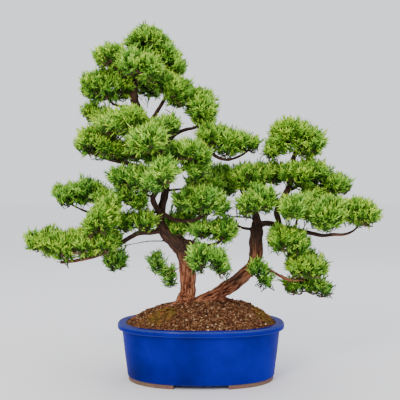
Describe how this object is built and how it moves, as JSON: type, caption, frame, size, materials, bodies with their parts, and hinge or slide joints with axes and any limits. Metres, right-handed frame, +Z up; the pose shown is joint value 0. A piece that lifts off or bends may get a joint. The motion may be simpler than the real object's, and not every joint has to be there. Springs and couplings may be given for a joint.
{
  "type": "potted bonsai tree",
  "caption": "Juniper bonsai with forked trunks, bare branches and clouds of green foliage, planted on a soil mound in an oval blue glazed pot on clay feet.",
  "frame": {"origin": "centre of the pot's plan at the underside of its feet, where it stands", "axes": "+Z up, X along the pot's length with the right-hand trunk towards +X, -Y is the front that the tree is shown from"},
  "size_m": [0.6453, 0.3665, 0.6416],
  "materials": {
    "glazed_stoneware": "gloss",
    "drain_mesh_plastic": "matte",
    "aluminium_wire": "satin",
    "soil": "matte",
    "moss": "matte",
    "juniper_bark": "matte",
    "juniper_foliage": "matte"
  },
  "bodies": {
    "root": {"pot": "glazed_stoneware", "drain_mesh_left": "drain_mesh_plastic", "drain_mesh_right": "drain_mesh_plastic", "mesh_wire_left": "aluminium_wire", "mesh_wire_right": "aluminium_wire", "soil": "soil", "moss_front_left": "moss", "moss_right": "moss", "left_trunk": "juniper_bark", "right_trunk": "juniper_bark", "front_stem": "juniper_bark", "right_fork": "juniper_bark", "crown_left_branch": "juniper_bark", "left_shoulder_branch": "juniper_bark", "upper_left_branch": "juniper_bark", "second_left_branch": "juniper_bark", "right_shoulder_branch": "juniper_bark", "right_pad_branch": "juniper_bark", "lower_right_branch": "juniper_bark", "low_right_branch": "juniper_bark", "middle_left_branch": "juniper_bark", "lower_left_branch": "juniper_bark", "right_branch": "juniper_bark", "right_leader": "juniper_bark", "right_leader_fork": "juniper_bark", "right_inner_branch": "juniper_bark", "low_branch": "juniper_bark", "crown_foliage": "juniper_foliage", "crown_left_foliage": "juniper_foliage", "crown_lower_foliage": "juniper_foliage", "left_shoulder_foliage": "juniper_foliage", "right_shoulder_foliage": "juniper_foliage", "upper_left_foliage": "juniper_foliage", "second_left_foliage": "juniper_foliage", "centre_front_foliage": "juniper_foliage", "centre_back_foliage": "juniper_foliage", "mid_left_foliage": "juniper_foliage", "trunk_front_foliage": "juniper_foliage", "inner_right_foliage": "juniper_foliage", "right_pad_foliage": "juniper_foliage", "lower_right_foliage": "juniper_foliage", "low_right_tier_foliage": "juniper_foliage", "low_front_tier_foliage": "juniper_foliage", "middle_left_foliage": "juniper_foliage", "raised_left_foliage": "juniper_foliage", "inner_left_foliage": "juniper_foliage", "lower_left_foliage": "juniper_foliage", "hanging_left_foliage": "juniper_foliage", "pale_tuft_foliage": "juniper_foliage", "right_crown_foliage": "juniper_foliage", "right_shoulder_pad_foliage": "juniper_foliage", "right_upper_left_foliage": "juniper_foliage", "right_inner_foliage": "juniper_foliage", "right_middle_foliage": "juniper_foliage", "right_front_tier_foliage": "juniper_foliage", "right_end_foliage": "juniper_foliage", "right_hanging_foliage": "juniper_foliage", "right_low_foliage": "juniper_foliage", "right_lowest_foliage": "juniper_foliage", "small_right_foliage": "juniper_foliage"}
  },
  "joints": []
}
